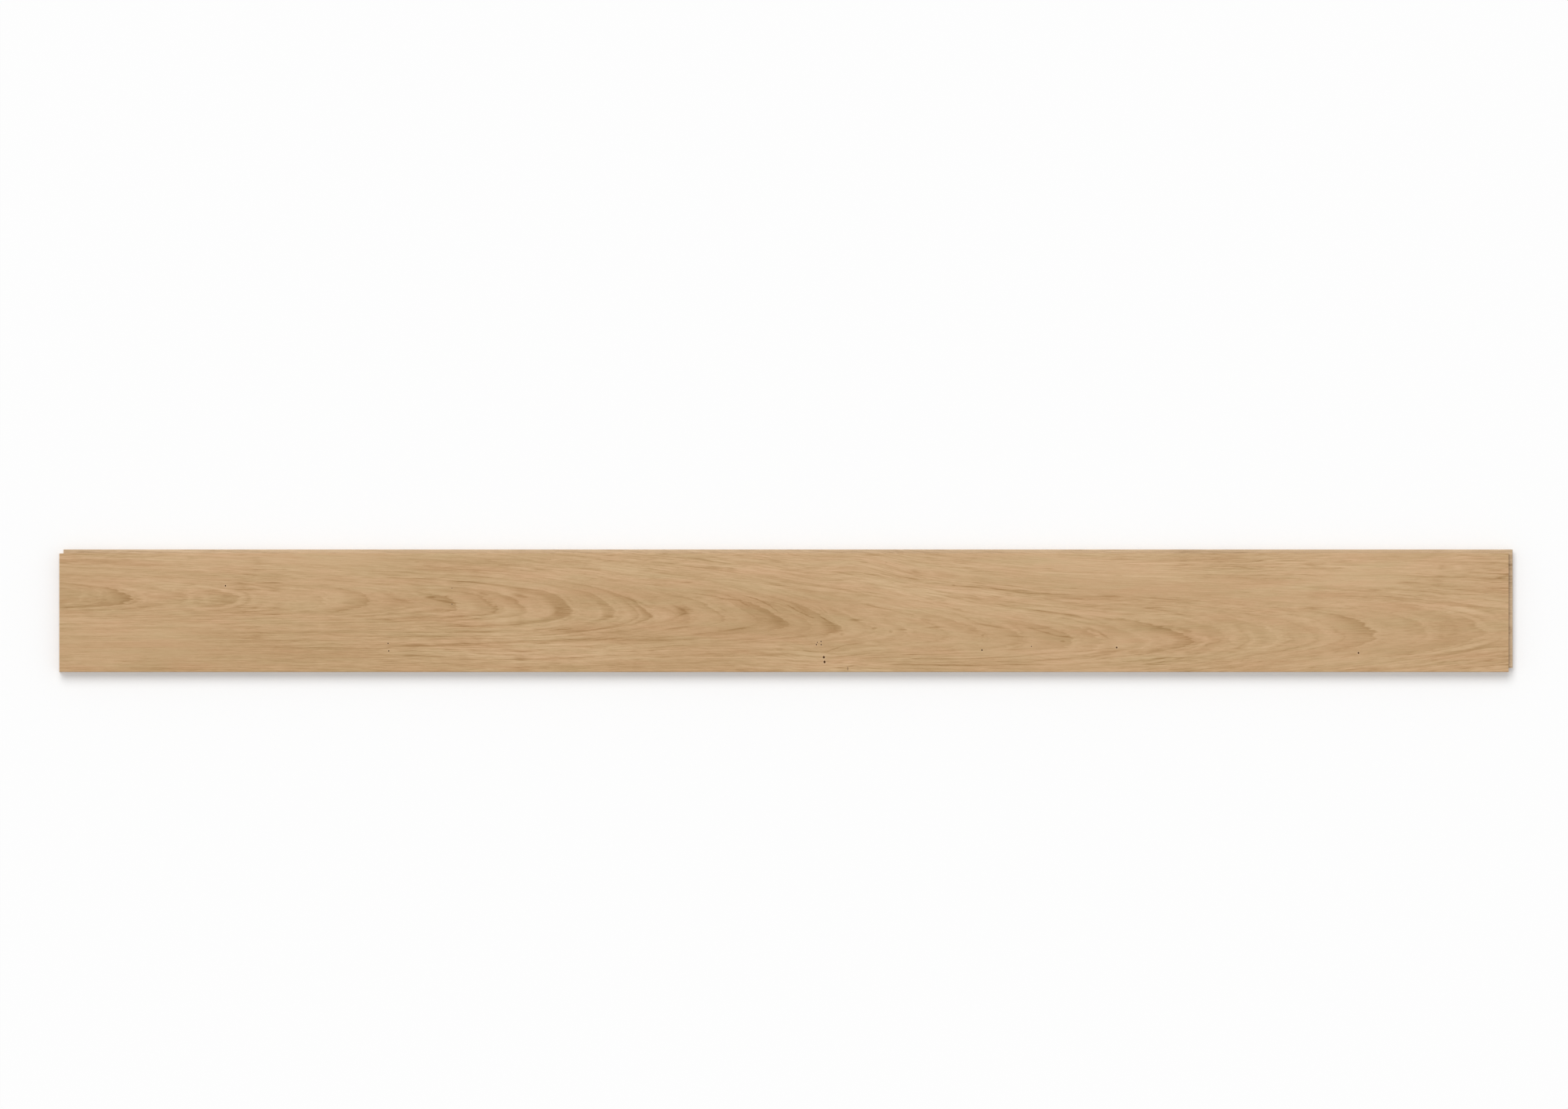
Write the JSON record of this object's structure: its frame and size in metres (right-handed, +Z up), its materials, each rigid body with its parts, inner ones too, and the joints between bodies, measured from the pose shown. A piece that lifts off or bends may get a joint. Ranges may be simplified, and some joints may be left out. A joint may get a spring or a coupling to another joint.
{
  "type": "oak floor plank",
  "caption": "Long flat solid oak floor plank with a tongue and a groove milled along the long sides and across the ends, bevelled face edges and relief channels underneath.",
  "frame": {"origin": "middle of the underside, on the plane where the plank rests, below the middle of the face", "axes": "+X along the plank towards the end tongue, +Y across it towards the long tongue, +Z up out of the face"},
  "size_m": [2.206, 0.186, 0.02],
  "materials": {
    "oak": "matt oiled face, raw planed sides and back"
  },
  "bodies": {
    "root": {"plank": "oak"}
  },
  "joints": []
}
